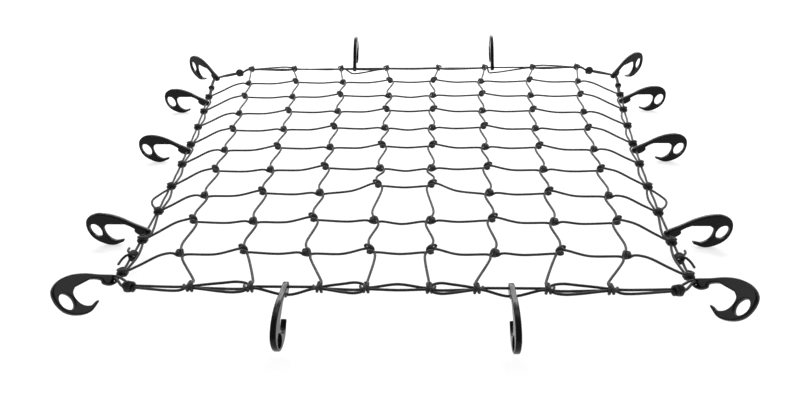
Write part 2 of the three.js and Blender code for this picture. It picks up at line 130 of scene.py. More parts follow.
def side_point(y, outwards=0.0, up=0.0):
    """A point beside the right border's middle line, in millimetres."""
    y = float(y)
    return np.array([side_x(y) + outwards, y, up - SIDE_DROP])


def joint_place(name):
    """The hinge point of a hook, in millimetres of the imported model."""
    return np.array(JOINTS[name + "_swing"]["pos_m"]) / METRE


OFFSET = joint_place("hook_right_1") - side_point(row_y(1.53), STRAND)
MIRROR = {"left": np.array([-1.0, 1.0, 1.0]), "right": np.array([1.0, 1.0, 1.0])}


def in_place(points, side="right"):
    """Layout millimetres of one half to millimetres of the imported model."""
    return np.asarray(points, float) * MIRROR[side] + OFFSET


print("offset to the packed model", OFFSET.round(2))

# %% [markdown]
# ## Cord as a swept surface
#
# Shock cord bends but keeps its thickness, so a cord is a ring of points carried along a path.
# The path itself is a chain of cubics through chosen points. Their slopes come from the
# neighbouring points, weighted so that close points don't make the curve overshoot, which
# matters inside a knot, where the points are only a few millimetres apart. The ring is kept
# from twisting by one fixed reference direction that the cord never runs along. Its UV map
# holds the real length along the cord and the turn around it, so that the braid can follow.


# %% Curves and tubes
def smooth_path(points, step):
    """A chain of cubics through the points. Slopes weigh each neighbour by the root of its
    distance; each stretch is cut into steps of about the given length."""
    p = np.asarray(points, float)
    q = np.vstack([2 * p[0] - p[1], p, 2 * p[-1] - p[-2]])
    gap = np.linalg.norm(np.diff(q, axis=0), axis=1)
    d = np.sqrt(gap)[:, None]
    before, after = d[:-1], d[1:]
    slope = (q[1:-1] - q[:-2]) / before + (q[2:] - q[1:-1]) / after
    slope -= (q[2:] - q[:-2]) / (before + after)
    count = np.maximum(1, np.round(gap[1:-1] / step)).astype(int)
    part = np.repeat(np.arange(len(count)), count)
    first = np.repeat(np.cumsum(count) - count, count)
    t = ((np.arange(count.sum()) - first) / count[part])[:, None]
    run = d[1:-1][part]
    a, b = p[part], p[part + 1]
    ma, mb = slope[part] * run, slope[part + 1] * run
    curve = (2 * t**3 - 3 * t**2 + 1) * a + (t**3 - 2 * t**2 + t) * ma
    curve += (3 * t**2 - 2 * t**3) * b + (t**3 - t**2) * mb
    return np.vstack([curve, p[-1]])


def unit(vectors):
    """Rows scaled to length one."""
    return vectors / np.linalg.norm(vectors, axis=-1, keepdims=True)


END_ANGLES = np.radians([82.0, 62.0, 40.0, 18.0])  # rings of the dome that closes an end


def tube(path, reference, radius=CORD, sides=10):
    """Rings round the path: centre + radius * (cos v * across + sin v * up), where across is
    the reference made square to the path. Both ends are closed by shrinking rings, a dome."""
    forward = unit(np.gradient(path, axis=0))
    dome_in = path[0] - forward[0] * CORD * np.sin(END_ANGLES)[:, None]
    dome_out = path[-1] + forward[-1] * CORD * np.sin(END_ANGLES[::-1])[:, None]
    centres = np.vstack([dome_in, path, dome_out])
    radii = np.broadcast_to(np.asarray(radius, float), len(path))
    radii = np.concatenate([np.cos(END_ANGLES) * radii[0], radii, np.cos(END_ANGLES[::-1]) * radii[-1]])
    rings = len(END_ANGLES)
    forward = np.vstack([np.repeat(forward[:1], rings, 0), forward, np.repeat(forward[-1:], rings, 0)])
    reference = np.asarray(reference, float)
    across = unit(reference - (forward @ reference)[:, None] * forward)
    up = np.cross(forward, across)
    v = 2 * np.pi * np.arange(sides) / sides
    ring = np.cos(v)[None, :, None] * across[:, None, :] + np.sin(v)[None, :, None] * up[:, None, :]
    points = centres[:, None, :] + radii[:, None, None] * ring
    along = np.concatenate([[0], np.cumsum(np.linalg.norm(np.diff(centres, axis=0), axis=1))])
    return grid_surface(points, along * METRE)


def swollen(path, centres, reach=8.0, extra=0.4):
    """Cord radius along a path: the braid is pushed fatter where it is tied, by a bell curve
    of the distance to the nearest knot."""
    distance = np.linalg.norm(path[:, None] - np.asarray(centres)[None], axis=-1).min(axis=1)
    return CORD + extra * np.exp(-((distance / reach) ** 2))


def grid_surface(points, along):
    """Quads between neighbouring rings, closed round each ring, with flat faces on both ends.
    u is the length along in metres and v the share of a turn."""
    rings, sides = points.shape[:2]
    i, j = np.meshgrid(np.arange(rings - 1), np.arange(sides), indexing="ij")
    k = (j + 1) % sides
    quads = np.stack([i * sides + j, i * sides + k, (i + 1) * sides + k, (i + 1) * sides + j], axis=-1)
    u = np.stack([along[i], along[i], along[i + 1], along[i + 1]], axis=-1)
    v = np.stack([j, j + 1, j + 1, j], axis=-1) / sides
    ends = [np.arange(sides)[::-1], (rings - 1) * sides + np.arange(sides)]
    end_u = [np.full(sides, along[0]), np.full(sides, along[-1])]
    end_v = np.arange(sides) / sides
    return {
        "points": points.reshape(-1, 3),
        "faces": quads.reshape(-1, 4).tolist() + [end.tolist() for end in ends],
        "uv": np.vstack([np.stack([u, v], axis=-1).reshape(-1, 2)]
                        + [np.stack([value, end_v], axis=-1) for value in end_u]),
    }


trial = smooth_path([(0, 0, 0), (30, 8, 0), (60, 0, 0)], 2.2)
print("a 60 mm trial path has", len(trial), "points and its tube", len(tube(trial, UP)["points"]))

# %% [markdown]
# ## From arrays to Blender objects
#
# Every piece goes through one function. It joins the surfaces, writes the mesh in one go, gives
# it a material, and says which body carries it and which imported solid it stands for. The object
# stays at the origin, and its place is in its points, so that nothing slides when it is moved
# by a joint.

# %% Putting surfaces into Blender
def make_piece(name, surfaces, material, body, slot, *replaced):
    """Joins surfaces into one mesh at the origin, in metres, and ties it to its body."""
    points, faces, uv, start = [], [], [], 0
    for surface in surfaces:
        points.append(surface["points"])
        faces += [[index + start for index in face] for face in surface["faces"]]
        uv.append(surface["uv"])
        start += len(surface["points"])
    mesh = bpy.data.meshes.new(name)
    mesh.from_pydata((np.vstack(points) * METRE).tolist(), [], faces)
    layer = mesh.uv_layers.new(name="along_and_round")
    layer.data.foreach_set("uv", np.vstack(uv).astype(np.float32).ravel())
    mesh.polygons.foreach_set("use_smooth", np.ones(len(mesh.polygons), bool))
    mesh.update()
    mesh.validate()
    mesh.materials.append(material)
    piece = bpy.data.objects.new(name, mesh)
    bpy.context.scene.collection.objects.link(piece)
    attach(piece, body)
    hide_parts(*replaced)
    return piece


# %% [markdown]
# ## Materials
#
# The cord is black polyester braided over a rubber core. Its threads lie in two slanting
# families, so its surface is a fine criss-cross that catches light in tiny dashes and looks
# greyer at the edges, where loose fibres scatter light. The hooks are injection-moulded black
# nylon: nearly black, with a tight gloss that is softened a little by handling marks. The index
# of refraction is close to the usual one for each plastic, but the specular levels are set well
# under the usual half, because a black cord on white paper otherwise turns grey.


# %% Colour and node helpers
def linear(colour):
    """An sRGB hex colour as linear red, green, blue and alpha."""
    value = np.array([int(colour[i : i + 2], 16) for i in (1, 3, 5)]) / 255
    value = np.where(value <= 0.04045, value / 12.92, ((value + 0.055) / 1.055) ** 2.4)
    return (*value.tolist(), 1.0)


def add_node(tree, kind, settings=None, inputs=None, stops=()):
    """Adds a node and sets its properties. Each input gets a plain value or a link, by the
    socket's name or number. Stops are a ramp's places and hex colours. Hands back the node's
    outputs."""
    node = tree.nodes.new(kind)
    for key, value in (settings or {}).items():
        setattr(node, key, value)
    for index, (position, colour) in enumerate(stops):
        stop = node.color_ramp.elements[index]
        stop.position, stop.color = position, linear(colour)
    for key, value in (inputs or {}).items():
        if isinstance(value, bpy.types.NodeSocket):
            tree.links.new(value, node.inputs[key])
        else:
            node.inputs[key].default_value = value
    return node.outputs


def new_tree(name):
    """An empty node material and its tree."""
    material = bpy.data.materials.new(name)
    material.use_nodes = True
    material.node_tree.nodes.clear()
    return material, material.node_tree


print("paper white", linear("#ffffff")[0], "and mid grey", round(linear("#808080")[0], 3))

# %% Braided cord
BRAID_PITCH = 0.0032  # metres along the cord for one crossing; coarser than real so that it shows
BRAID_STARTS = 4  # thread bundles that wind each way
BRAID_HIGHLIGHT, WEAR_TONE = 0.22, 0.5  # share of the painted braid highlight and of the wear in the colour
CORD_SPECULAR, NYLON_SPECULAR = 0.18, 0.12  # under the usual 0.5
FLECK_SCALE = 700.0  # flecks of worn thread, a millimetre or two long
WEAR_SCALE = 24.0  # slow changes of tone, about four centimetres long


def braided_cord(name, dark, light, sheen):
    """Braided polyester over rubber: two slanting thread families that pass over each other
    give dashes of light, from a bump and from a painted highlight that lightens the colour on
    the thread crowns, and a little sheen stands for the loose fibres at the edges.
    Height = max(sin(along + round), sin(along - round)) for the distance along and the turn."""
    material, tree = new_tree(name)
    uv = add_node(tree, "ShaderNodeUVMap", {"uv_map": "along_and_round"})
    split = add_node(tree, "ShaderNodeSeparateXYZ", None, {"Vector": uv["UV"]})
    along = add_node(tree, "ShaderNodeMath", {"operation": "MULTIPLY"},
                     {0: split["X"], 1: 2 * math.pi / BRAID_PITCH})[0]
    turn = add_node(tree, "ShaderNodeMath", {"operation": "MULTIPLY"},
                    {0: split["Y"], 1: 2 * math.pi * BRAID_STARTS})[0]
    waves = []
    for operation in ("ADD", "SUBTRACT"):
        slant = add_node(tree, "ShaderNodeMath", {"operation": operation}, {0: along, 1: turn})[0]
        waves.append(add_node(tree, "ShaderNodeMath", {"operation": "SINE"}, {0: slant})[0])
    threads = add_node(tree, "ShaderNodeMath", {"operation": "MAXIMUM"}, {0: waves[0], 1: waves[1]})[0]
    place = add_node(tree, "ShaderNodeTexCoord")["Object"]
    fleck = add_node(tree, "ShaderNodeTexNoise", None,
                     {"Vector": place, "Scale": FLECK_SCALE, "Detail": 2.0})
    wear = add_node(tree, "ShaderNodeTexNoise", None,
                    {"Vector": place, "Scale": WEAR_SCALE, "Detail": 3.0})
    # painted highlight: the colour is lighter on the crowns of the threads, and worn flecks and slow
    # wear are added to it
    tone = add_node(tree, "ShaderNodeMath", {"operation": "MULTIPLY_ADD"},
                    {0: threads, 1: BRAID_HIGHLIGHT, 2: fleck["Fac"]})[0]
    tone = add_node(tree, "ShaderNodeMath", {"operation": "MULTIPLY_ADD"},
                    {0: wear["Fac"], 1: WEAR_TONE, 2: tone})[0]
    colour = add_node(tree, "ShaderNodeValToRGB", None, {"Fac": tone},
                      [(0.55, dark), (1.25 / 1.3, light)])["Color"]
    normal = add_node(tree, "ShaderNodeBump", None,
                      {"Strength": 0.5, "Distance": 0.0003, "Height": threads})["Normal"]
    shader = add_node(tree, "ShaderNodeBsdfPrincipled", None,
                      {"Base Color": colour, "Normal": normal, "Roughness": 0.5, "IOR": 1.5,
                       "Specular IOR Level": CORD_SPECULAR,
                       "Sheen Weight": sheen, "Sheen Roughness": 0.6})
    add_node(tree, "ShaderNodeOutputMaterial", None, {"Surface": shader["BSDF"]})
    return material


MESH_CORD = braided_cord("braided_polyester_mesh_cord", "#0c0c0d", "#3a3a3d", 0.02)
BORDER_CORD = braided_cord("braided_polyester_border_cord", "#070708", "#2a2a2d", 0.01)
print("cord finishes", MESH_CORD.name, BORDER_CORD.name)


# %% Moulded nylon
def moulded_nylon(name):
    """Injection-moulded black nylon: polished steel tooling leaves a gloss, a slow swell of
    the cooling skin bends its reflections, and handling leaves patches that are less shiny."""
    material, tree = new_tree(name)
    place = add_node(tree, "ShaderNodeTexCoord")["Object"]
    swell = add_node(tree, "ShaderNodeTexNoise", None, {"Vector": place, "Scale": 60.0, "Detail": 1.0})
    marks = add_node(tree, "ShaderNodeTexNoise", None,
                     {"Vector": place, "Scale": 300.0, "Detail": 4.0, "Roughness": 0.65})
    gloss = add_node(tree, "ShaderNodeMapRange", None,
                     {"Value": marks["Fac"], "From Min": 0.3, "From Max": 0.8,
                      "To Min": 0.16, "To Max": 0.36})
    tone = add_node(tree, "ShaderNodeValToRGB", None, {"Fac": marks["Fac"]},
                    [(0.35, "#040405"), (0.75, "#0e0e10")])["Color"]
    normal = add_node(tree, "ShaderNodeBump", None,
                      {"Strength": 0.12, "Distance": 0.0006, "Height": swell["Fac"]})["Normal"]
    shader = add_node(tree, "ShaderNodeBsdfPrincipled", None,
                      {"Base Color": tone, "Roughness": gloss["Result"], "Normal": normal, "IOR": 1.53,
                       "Specular IOR Level": NYLON_SPECULAR})
    add_node(tree, "ShaderNodeOutputMaterial", None, {"Surface": shader["BSDF"]})
    return material


HOOK_NYLON = moulded_nylon("moulded_black_nylon")
print("hook finish", HOOK_NYLON.name)

# %% [markdown]
# ## Knots
#
# A cross cord is hitched round each long cord: it goes over, round behind, and back over
# itself. Every second knot sits the other way up, so on one the cord's ear stands out and on
# the next the long cord rides over the knot. Each hitch is a list of places in the knot's own
# directions (outwards, back, up); the cord's path simply runs through them, so that a knot and
# the cord either side of it are one unbroken surface, as they are in the real net.

# %% Hitches, in millimetres from the middle of the knot
EARED_HITCH = np.array([
    (13, 0.5, 0), (7.5, 0, 1.6), (4, 0.2, 3.2), (0, 0.6, 4.1), (-3.8, 0.9, 1), (-1.5, 1.3, -4),
    (3.2, 2.6, -3), (6.8, 5, -0.4), (9.4, 8, 3), (5, 6, 5.4), (0.8, 2.6, 6.4), (-3.2, -0.8, 5.8),
    (-5.7, -3, 1.6), (-1.5, -4.6, -3.8), (3.8, -6.6, -1), (1.2, -7.8, 3.5), (-3.6, -8, 2),
    (-8, -7.8, 0), (-14, -7.4, -0.6),
])
EARED_LONG = np.array([
    (4.5, 30, -0.6), (3, 14, 0.4), (0.6, 5, 0), (-0.6, -1, 0), (-4, -6, 1.2), (-8.6, -13, -0.4),
])
ROUND_HITCH = np.array([
    (14, -1.2, 0), (8.6, -1.8, -0.6), (5.4, -2.4, -2.6), (1.5, -2.6, -4.2), (-2.3, -2.6, -0.4),
    (1.5, -2, 3.5), (5.3, -0.4, -0.3), (1.5, 1.8, -4.3), (-2.3, 2.4, -0.4), (1.2, 2.8, 3.7),
    (5.4, 3.4, 0.8), (3.6, 2, -5.6), (-1.5, -1, -6), (-6, -3, -3), (-13, -3.6, -0.8),
])
ROUND_LONG = np.array([
    (4.5, 30, -0.6), (2, 14, 0.6), (-1.4, 6, 3), (-4.4, 2, 4.8), (-6.4, -2.5, 4), (-8.2, -8, 1),
    (-9, -15, -0.4),
])
END_HITCH = np.array([
    (-15, 0, 0.6), (-9.5, -0.6, 2), (-5, -1.2, 4.3), (0, -1.6, 4.6), (5, -2.2, 3.8), (6.8, -2.6, 0),
    (4.5, -2.4, -4), (0, -1, -4.4), (-4.8, 0.6, -4), (-6.8, 1.4, 0), (-4.6, 2.2, 4.6), (0, 2.8, 4.8),
    (5, 3.2, 3.9), (6.8, 3.4, 0), (3.4, 4.6, -4.2), (-3, 4.6, -4.4), (-7, 4.4, -1.6), (-6.2, 2, 5.6),
    (-2, -2.2, 8), (4, -1.4, 7.6), (7.4, 3, 5), (6, 7.4, 4.2), (1, 9.4, 4.6),
])


def from_knot(local, centre, outwards, back):
    """Hitch places to layout places: each is so far outwards, back and up from the centre."""
    return centre + local[:, :1] * outwards + local[:, 1:2] * back + local[:, 2:] * UP


def is_eared(out, row):
    """Every second knot has an ear, and the ones between are round."""
    return (out + row) % 2 == 1


print("hitches of", len(EARED_HITCH), len(ROUND_HITCH), "and", len(END_HITCH), "places")

# %% [markdown]
# ## Long cords and cross cords
#
# A long cord starts with its own hitch on the back border, snakes from knot to knot, and ends
# in a hitch on the front border. Between two knots it leaves one on the inner side and meets
# the next one straight on, which gives the lazy S of cord that has been on a spool. A cross
# cord runs from one side border to the other and takes its hitches on the way.


# %% Long cords
def long_cord_path(out):
    """Back hitch, nine passages and front hitch of one long cord, on the right half."""
    knots = KNOTS[out]
    parts = [from_knot(END_HITCH, knots[0], Y, X)[::-1]]
    for row in range(1, ROWS + 1):
        passage = EARED_LONG if is_eared(out, row) else ROUND_LONG
        parts.append(from_knot(passage, knots[row], X, Y))
    parts.append(from_knot(END_HITCH, knots[-1], -Y, X))
    return np.vstack(parts)


SWEEP_STEP = 2.2
long_pieces = []
for out in range(HALF_COLUMNS):
    for side in MIRROR:
        number = HALF_COLUMNS + 1 + out if side == "right" else HALF_COLUMNS - out
        path = smooth_path(in_place(long_cord_path(out), side), SWEEP_STEP)
        radius = swollen(path, in_place(KNOTS[out], side))
        long_pieces.append(make_piece(f"long_shock_cord_{number}", [tube(path, X, radius)], MESH_CORD,
                                      "net", "cord", f"long_cord_{number}"))
print("long cords", len(long_pieces))


# %% Cross cords
SAG = 3.5  # a slack stretch of cross cord dips this far


def cross_half_path(row):
    """From the middle plane outwards on the right half: four hitches, then the border hitch."""
    parts = []
    for out in range(HALF_COLUMNS):
        hitch = EARED_HITCH if is_eared(out, row) else ROUND_HITCH
        parts.append(from_knot(hitch, KNOTS[out, row], X, Y)[::-1])
        if out < OUTERMOST:
            middle = (KNOTS[out, row] + KNOTS[out + 1, row]) / 2 + np.array([-8, -SAG - 2.5, -2.0])
            parts.append(middle[None])
    end = side_point(row_y(row) - SIDE_SHIFT)
    last = KNOTS[-1, row]
    shoulder = last * 0.66 + end * 0.34 + [0, 3.0, 7.0]
    waist = last * 0.3 + end * 0.7 + [0, -1.0, 4.0]
    parts += [shoulder[None], waist[None], from_knot(END_HITCH[2:], end, X, Y)]
    return np.vstack(parts)


cross_pieces = []
for row in range(1, ROWS + 1):
    half = cross_half_path(row)
    centre = np.array([[0, KNOTS[0, row, 1] - 6.5 - SAG, -2.0]]) + OFFSET
    whole = np.vstack([in_place(half[::-1], "left"), centre, in_place(half, "right")])
    path = smooth_path(whole, SWEEP_STEP)
    hitches = np.vstack([KNOTS[:, row], side_point(row_y(row) - SIDE_SHIFT)[None]])
    radius = swollen(path, np.vstack([in_place(hitches, side) for side in MIRROR]))
    cross_pieces.append(make_piece(f"cross_shock_cord_{row}", [tube(path, Y, radius)],
                                   MESH_CORD, "net", "cord", f"cross_cord_{row}"))
print("cross cords", len(cross_pieces))

# %% [markdown]
# ## The doubled border
#
# Two strands run side by side round the net. Every hitch pins them together, and between two
# hitches they spring apart into a long eye, because shock cord resists being bent. Where a
# hook hangs, one strand carries it and the other passes beside or below. A few stretches have
# gone slack and show a third strand. All of these are again paths through chosen places, and
# the strand that carries a hook keeps to the hook's hinge, so a turning hook stays threaded.

# %% Border sizes, in millimetres
INNER, OUTER = 1, -1
LOOPED = {(ROWS + 1, 0), (ROWS + 1, 2), (0, 2)}  # stretches whose strands stand far apart
LENS = {INNER: 9.0, OUTER: 3.0}  # how far a strand springs away between two hitches
SIDE_BIGHT = 24.0
END_BIGHT = 14.0
LEVEL_RUN = 9.0
EYE_STRAIGHT = 8.0
COMPANION_DROP = 14.0  # under a front or back hook; 1.5 mm lower than packed, to clear its swing
COMPANION_IN = 8.75  # beside a side hook
SIDE_HOOK_YS = [row_y(row) for row in (1.53, 4.45, 7.86)]
BACK_CORNER, BACK_AZIMUTH = np.array([side_x(row_y(1)) + 7, row_y(1) + 100, -25.0]), 32.0
FRONT_CORNER, FRONT_AZIMUTH = np.array([side_x(row_y(ROWS)) + 2, row_y(ROWS) - 42, -30.0]), -76.0
FRONT_ROLL = 34.0  # the front corner hooks lean, and the cord slopes up through their eyes
BACK_SPLICE = KNOTS[-1, 0] + [35.0, -6.0, -8.0]
FRONT_SPLICE = KNOTS[-1, -1] + [110.0, 26.0, -20.0]
HOOK_X = {  # distance of a front or back hook from the middle plane
    (0, "left"): KNOTS[0, 0, 0] * 0.28 + KNOTS[1, 0, 0] * 0.72,
    (0, "right"): KNOTS[1, 0, 0] * 0.82 + KNOTS[2, 0, 0] * 0.18,
    (ROWS + 1, "left"): (KNOTS[1, -1, 0] + KNOTS[2, -1, 0]) / 2,
    (ROWS + 1, "right"): (KNOTS[1, -1, 0] + KNOTS[2, -1, 0]) / 2,
}
HITCH_YS = row_y(np.arange(1, ROWS + 1)) - SIDE_SHIFT
print("hook places along x", [round(x, 1) for x in HOOK_X.values()])


# %% Border strands
def corner_run(corner, azimuth, strand, roll=0.0):
    """A straight run through a corner hook's eye, square to the direction that it points and
    sloped by the hook's roll."""
    angle, lean = math.radians(azimuth), math.radians(roll)
    out = np.array([math.cos(angle), math.sin(angle), 0])
    level = np.array([-math.sin(angle), math.cos(angle), 0])
    along = level * math.cos(lean) - UP * math.sin(lean)
    return [corner - strand * STRAND * out + along * run for run in (EYE_STRAIGHT, -EYE_STRAIGHT)]


def side_strand(strand):
    """Back splice, back corner eye, nine hitches, front corner eye, front splice."""
    beside = lambda y, distance, up=0.0: side_point(y, -strand * distance, up)
    spread = lambda splice, corner, sign: (
        splice * 0.66 + corner * 0.34 + [0, -sign * strand * 6.5, 1.0])
    points = [BACK_SPLICE + [0, -strand * STRAND, 0], spread(BACK_SPLICE, BACK_CORNER, 1),
              *corner_run(BACK_CORNER, BACK_AZIMUTH, strand)]
    points.append(beside(HITCH_YS[0] + LEVEL_RUN, STRAND))
    for y, after in zip(HITCH_YS, [*HITCH_YS[1:], None]):
        points.append(beside(y, STRAND))
        if after is None:
            continue
        hook = [h for h in SIDE_HOOK_YS if after < h < y]
        if hook:
            aside = COMPANION_IN if strand == INNER else STRAND
            points += [beside(y - LEVEL_RUN, STRAND), beside(hook[0] + EYE_STRAIGHT, aside),
                       beside(hook[0] - EYE_STRAIGHT, aside), beside(after + LEVEL_RUN, STRAND)]
        else:
            swell = LENS[strand]
            points += [beside(y - 28, swell * 0.8, strand), beside(y - 52, swell, strand),
                       beside(y - 76, swell * 0.72, strand)]
    points.append(beside(HITCH_YS[-1] - LEVEL_RUN, STRAND))
    points += [*corner_run(FRONT_CORNER, FRONT_AZIMUTH, strand, FRONT_ROLL),
               spread(FRONT_SPLICE, FRONT_CORNER, -1), FRONT_SPLICE + [0, strand * STRAND, 0]]
    return np.array(points)


def end_strand(row, strand, hook_x):
    """Half of a front or back border strand, from the middle plane to the splice."""
    inward = (-1 if row == 0 else 1) * strand
    splice = BACK_SPLICE if row == 0 else FRONT_SPLICE
    carries = strand == (OUTER if row == 0 else INNER)
    swell = LENS[strand]
    at = lambda x, y, z=0.0: np.array([x, row_y(row) + y, z])
    points = [at(0, inward * swell, strand)]
    for out in range(HALF_COLUMNS):
        x = KNOTS[out, row, 0]
        points.append(at(x, inward * STRAND))
        if out == OUTERMOST:
            loose = STRAND if strand == INNER else 6.5
            points += [at(x + 6, inward * STRAND), at(x + 16, inward * loose, -1.5),
                       splice + [-5, inward * STRAND, 0]]
            continue
        after = KNOTS[out + 1, row, 0]
        if x < hook_x < after:
            y, z = (STRAND, 0.0) if carries else (STRAND - 1, -COMPANION_DROP)
            points += [at(x + LEVEL_RUN, inward * STRAND), at(hook_x - EYE_STRAIGHT, y, z),
                       at(hook_x + EYE_STRAIGHT, y, z), at(after - LEVEL_RUN, inward * STRAND)]
        else:
            loop = swell * (1.4 if strand == INNER and (row, out) in LOOPED else 1.0)
            points += [at(x + (after - x) * share, inward * loop * part, strand)
                       for share, part in ((0.1, 0.72), (0.26, 1.0), (0.52, 0.72), (0.78, 0.4))]
    return np.array(points)


print("places along a side strand", len(side_strand(INNER)), "and half an end strand",
      len(end_strand(0, INNER, HOOK_X[0, "right"])))

# %% [markdown]
# ## Slack bights, coils and cut ends
#
# Where the border is slack, a third strand bows out between two hitches. Where cords are
# joined, a few turns are wound round them, which is a helix, and the ends are cut off short.
# These are drawn as separate tubes whose ends are buried in a knot, because that is how they
# look, and following the real cord through each joining knot would show nothing more.

# %% Slack bights and coils
def end_bight(row, out, strand):
    """A third strand that bows out between two hitches of an end border, roundest at the end
    near the middle of the net."""
    x, after = KNOTS[out, row, 0], KNOTS[out + 1, row, 0]
    inward = (-1 if row == 0 else 1) * strand
    share = np.array([0.04, 0.1, 0.25, 0.5, 0.75, 0.96])
    bow = END_BIGHT * np.array([0, 0.72, 1.0, 0.8, 0.45, 0])
    bow[[0, -1]] = STRAND
    rise = [0, 1, 1.5, 1, 0.5, 0]
    return np.stack([x + (after - x) * share, row_y(row) + inward * bow, rise], axis=-1)


def side_bight():
    """The slack third strand outside the side border, between its sixth and seventh hitch."""
    y, after = HITCH_YS[SLACK_ROW - 2], HITCH_YS[SLACK_ROW - 1]
    places = [(y - LEVEL_RUN, STRAND), (y - 30, 0.6 * SIDE_BIGHT), (y - 55, SIDE_BIGHT),
              (after + 22, 0.7 * SIDE_BIGHT), (after + LEVEL_RUN, STRAND)]
    return np.array([side_point(*place) for place in places])


def coil(centre, axis, turns=2.6, radius=6.2, pitch=4.3):
    """A helix: cord wound round an axis, each turn one cord further on, ends tucked inwards."""
    axis = unit(np.asarray(axis, float))
    first = unit(np.cross(axis, [0.0, 0.0, 1.0]))
    second = np.cross(axis, first)
    t = np.linspace(0, 1, 34)[:, None]
    angle = 2 * np.pi * turns * t
    tuck = radius - 2.6 * np.clip(np.abs(2 * t - 1) - 0.86, 0, 1) / 0.14
    ring = np.cos(angle) * first + np.sin(angle) * second
    return centre + axis * pitch * turns * (t - 0.5) + tuck * ring


END_BIGHTS = {0: ((0, INNER), (2, OUTER)), ROWS + 1: ((0, OUTER), (2, OUTER))}
JOIN_Y = row_y(ROWS) + 37


def tail(lean):
    """A cut end of the joining knot, standing out sideways."""
    places = [[4, 0, 3], [9, lean * 5, 4], [14, lean * 13, 2], [17, lean * 24, -1.0]]
    return side_point(JOIN_Y) + np.array(places)


print("end bights", sum(len(bights) for bights in END_BIGHTS.values()) * len(MIRROR))

# %% Border pieces
def swept(points, side, reference, step=SWEEP_STEP):
    """One strand of the border as a surface on its own half."""
    return tube(smooth_path(in_place(points, side), step), reference)


border_pieces = []
for side in MIRROR:
    strands = [swept(side_strand(strand), side, UP) for strand in (INNER, OUTER)]
    strands.append(swept(side_bight(), side, UP))
    strands += [swept(tail(lean), side, UP) for lean in (1, -1)]
    strands.append(swept(coil(side_point(JOIN_Y), Y, 3.2, 6.6), side, Y, 1.6))
    routes = [smooth_path(side_strand(strand), SWEEP_STEP) for strand in (INNER, OUTER)]
    bead = np.mean([route[np.abs(route[:, 1] - row_y(1) - 42).argmin()] for route in routes], axis=0)
    strands.append(swept(coil(bead, [0.1, 1, 0.1], 1.8, 6.0), side, Y, 1.6))
    border_pieces.append(make_piece(f"border_shock_cord_{side}", strands, BORDER_CORD, "net", "cord",
                                    f"border_{side}"))
for row, word in ((0, "back"), (ROWS + 1, "front")):
    strands = []
    for strand in (INNER, OUTER):
        left, right = (end_strand(row, strand, HOOK_X[row, side]) for side in MIRROR)
        whole = np.vstack([in_place(left[:0:-1], "left"), in_place(right, "right")])
        strands.append(tube(smooth_path(whole, SWEEP_STEP), UP))
    splice = BACK_SPLICE if row == 0 else FRONT_SPLICE
    for side in MIRROR:
        strands += [swept(end_bight(row, *bight), side, UP) for bight in END_BIGHTS[row]]
        strands.append(swept(coil(splice, [1, 0.25, 0], 3.1, 6.9), side, X, 1.6))
        strands.append(swept(coil(splice + [1.5, 0, 1], [0.35, 1, 0.1], 1.6, 8.4), side, Y, 1.6))
    border_pieces.append(make_piece(f"border_shock_cord_{word}", strands, BORDER_CORD, "net", "cord",
                                    f"border_{word}"))
print("border pieces", len(border_pieces))

# %% [markdown]
# ## The hooks
#
# Each hook is a flat plate of nylon in the shape of an open C, with a round eye for the cord
# and an oval hole for a finger. A mould leaves it with rounded edges, so the wall of the plate
# is a grid: the outline carried through a quarter round, the straight wall with its thin
# parting line, and a second quarter round. The two faces are filled between the outline and
# the two holes. A bevel modifier could round a plain plate, but the lip is only three
# millimetres high, and here the rounding can shrink where the plastic is narrow.

# %% Hook outline, in millimetres out from the eye and up
HALF_THICK = 4.5
OUTLINE_RUNS = [
    [(0, 8), (20, 18), (42, 30.5), (65, 38), (87, 38), (103, 29), (108, 12), (103, -8), (90, -20.5),
     (68, -27.5), (50, -21.8), (46, -20), (44.9, -18.4), (46, -17), (60, -19), (72, -12), (77, 1),
     (75.5, 11.5), (68, 17.5)],
    [(68, 17.5), (36, 17.5)],
    [(36, 17.5), (27, 13.5), (19, 7), (20.2, 4.4), (20, 1.8), (14, -4.5), (5, -8), (-6, -5.5),
     (-8, 2), (0, 8)],
]
OUTLINE = np.vstack([smooth_path(np.array(run, float), 2.2)[:-1] for run in OUTLINE_RUNS])[::-1]


def ring_of(u, v, half_u, half_v, lean=0.0, count=40):
    """An oval round (u, v), turned by the lean; it runs the other way round than the outline."""
    t, a = -2 * np.pi * np.arange(count) / count, math.radians(lean)
    x, y = half_u * np.cos(t), half_v * np.sin(t)
    return np.stack([u + x * math.cos(a) - y * math.sin(a),
                     v + x * math.sin(a) + y * math.cos(a)], axis=-1)


def inward_normals(loop):
    """Unit normals that point into the plastic: the tangent turned a quarter to the left."""
    tangent = unit(np.roll(loop, -1, 0) - np.roll(loop, 1, 0))
    return np.stack([-tangent[:, 1], tangent[:, 0]], axis=-1)


def rounding_room(loop):
    """How far the rounding may cut in: 0.38 of the gap to the far side, at most two."""
    step = np.linalg.norm(np.roll(loop, -1, 0) - loop, axis=1)
    place = np.cumsum(step) - step
    apart = np.abs(place[:, None] - place[None])
    apart = np.minimum(apart, step.sum() - apart)
    gap = np.linalg.norm(loop[:, None] - loop[None], axis=-1)
    room = 0.38 * np.where(apart > 6, gap, 99).min(axis=1)
    room = np.minimum(room, 2.0)
    return (np.roll(room, 1) + room + np.roll(room, -1)) / 3


